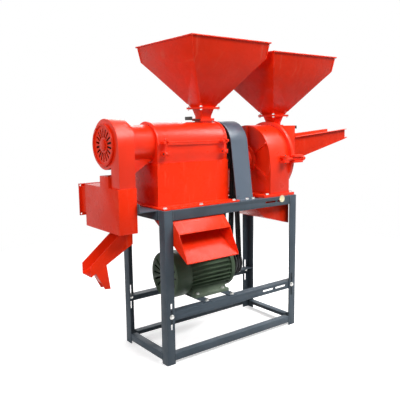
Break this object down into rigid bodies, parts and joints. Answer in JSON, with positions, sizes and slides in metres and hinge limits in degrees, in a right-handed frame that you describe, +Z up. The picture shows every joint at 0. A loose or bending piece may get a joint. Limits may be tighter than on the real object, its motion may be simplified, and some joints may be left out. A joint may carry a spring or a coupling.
{
  "type": "rice huller",
  "caption": "Combined rice huller and claw crusher with two hoppers, fan separator and belt drive on a steel stand.",
  "frame": {"origin": "middle of the whole machine's box, on the floor", "axes": "+X from the fan and rice outlet to the crusher and its feed tray, -Y the working front with the bran chute, +Z up"},
  "size_m": [1.527, 0.484, 1.3096],
  "materials": {
    "stand_paint": "semi-gloss blue-grey paint",
    "red_paint": "gloss red-orange enamel",
    "guard_paint": "grey-blue sheet paint",
    "motor_paint": "dark green motor paint",
    "dark_steel": "dark oiled steel",
    "zinc_steel": "zinc-plated steel",
    "ground_steel": "ground steel",
    "cast_iron": "bare grey iron",
    "belt_rubber": "black rubber"
  },
  "bodies": {
    "machine": {"stand_legs": "stand_paint", "stand_top_frame": "stand_paint", "stand_lower_rails": "stand_paint", "motor_rails": "stand_paint", "motor_cross_bars": "stand_paint", "frame_bolts": "zinc_steel", "mill_body": "red_paint", "bran_skirt": "red_paint", "hinge_pins": "dark_steel", "sieve_lower": "ground_steel", "sieve_upper": "ground_steel", "feed_barrel": "cast_iron", "mill_bearings": "cast_iron", "discharge_casing": "red_paint", "fan_housing": "red_paint", "fan_grille": "red_paint", "separator_box": "red_paint", "air_outlet": "red_paint", "rice_chute": "red_paint", "broken_rice_spout": "red_paint", "separator_bracket": "stand_paint", "bran_chute": "red_paint", "belt_guard": "guard_paint", "drive_belts": "belt_rubber", "crusher_base": "red_paint", "crusher_housing": "red_paint", "crusher_bearing_housing": "red_paint", "crusher_ring_sieve": "ground_steel", "flour_outlet": "red_paint", "motor_stator": "motor_paint", "motor_end_bells": "motor_paint", "motor_fan_cover": "motor_paint", "motor_terminal_box": "motor_paint", "terminal_box_lid": "motor_paint"},
    "motor_rotor": {"motor_shaft": "ground_steel", "motor_fan": "cast_iron", "motor_pulley": "cast_iron"},
    "mill_rotor": {"mill_shaft": "ground_steel", "feed_screw": "cast_iron", "milling_roller": "cast_iron", "mill_pulley": "cast_iron", "fan_impeller": "cast_iron"},
    "crusher_rotor": {"crusher_shaft": "ground_steel", "crusher_rotor": "cast_iron", "crusher_pulley": "cast_iron"},
    "cover": {"mill_cover": "red_paint", "mill_inlet_funnel": "red_paint", "mill_hopper": "red_paint", "mill_hopper_bolts": "zinc_steel"},
    "mill_gate": {"mill_feed_gate": "dark_steel"},
    "latch_left": {"cover_latch_left": "red_paint"},
    "latch_right": {"cover_latch_right": "red_paint"},
    "door": {"crusher_door": "red_paint", "feed_throat": "red_paint", "feed_tray": "red_paint", "crusher_inlet_funnel": "red_paint", "crusher_hopper": "red_paint", "crusher_hopper_bolts": "zinc_steel"},
    "crusher_gate": {"crusher_feed_gate": "dark_steel"},
    "clamp": {"door_clamp": "red_paint"}
  },
  "joints": [
    {"name": "motor_spin", "type": "hinge", "parent": "machine", "child": "motor_rotor", "pos_m": [-0.1355, 0.014, 0.324], "axis": [1, 0, 0], "continuous": true},
    {"name": "mill_spin", "type": "hinge", "parent": "machine", "child": "mill_rotor", "pos_m": [-0.1355, 0.024, 0.892], "axis": [1, 0, 0], "continuous": true},
    {"name": "crusher_spin", "type": "hinge", "parent": "machine", "child": "crusher_rotor", "pos_m": [0.0645, 0.024, 0.804], "axis": [1, 0, 0], "continuous": true},
    {"name": "cover_hinge", "type": "hinge", "parent": "machine", "child": "cover", "pos_m": [-0.2935, 0.126, 0.892], "axis": [-1, 0, 0], "range_deg": [0, 85]},
    {"name": "mill_gate_slide", "type": "slide", "parent": "cover", "child": "mill_gate", "axis": [-1, 0, 0], "range_m": [0, 0.05]},
    {"name": "latch_left_swing", "type": "hinge", "parent": "machine", "child": "latch_left", "pos_m": [-0.4455, -0.082, 0.852], "axis": [1, 0, 0], "range_deg": [0, 90]},
    {"name": "latch_right_swing", "type": "hinge", "parent": "machine", "child": "latch_right", "pos_m": [-0.1415, -0.082, 0.852], "axis": [1, 0, 0], "range_deg": [0, 90]},
    {"name": "crusher_door_hinge", "type": "hinge", "parent": "machine", "child": "door", "pos_m": [0.2135, 0.208, 0.804], "axis": [0, 0, 1], "range_deg": [0, 100]},
    {"name": "crusher_gate_slide", "type": "slide", "parent": "door", "child": "crusher_gate", "axis": [1, 0, 0], "range_m": [0, 0.05]},
    {"name": "clamp_swing", "type": "hinge", "parent": "machine", "child": "clamp", "pos_m": [0.1615, -0.153, 0.804], "axis": [0, 0, -1], "range_deg": [0, 90]}
  ],
  "couplings": [
    {"joint": "mill_spin", "follows": "motor_spin", "ratio": 0.5},
    {"joint": "crusher_spin", "follows": "motor_spin", "ratio": 1.4762}
  ]
}
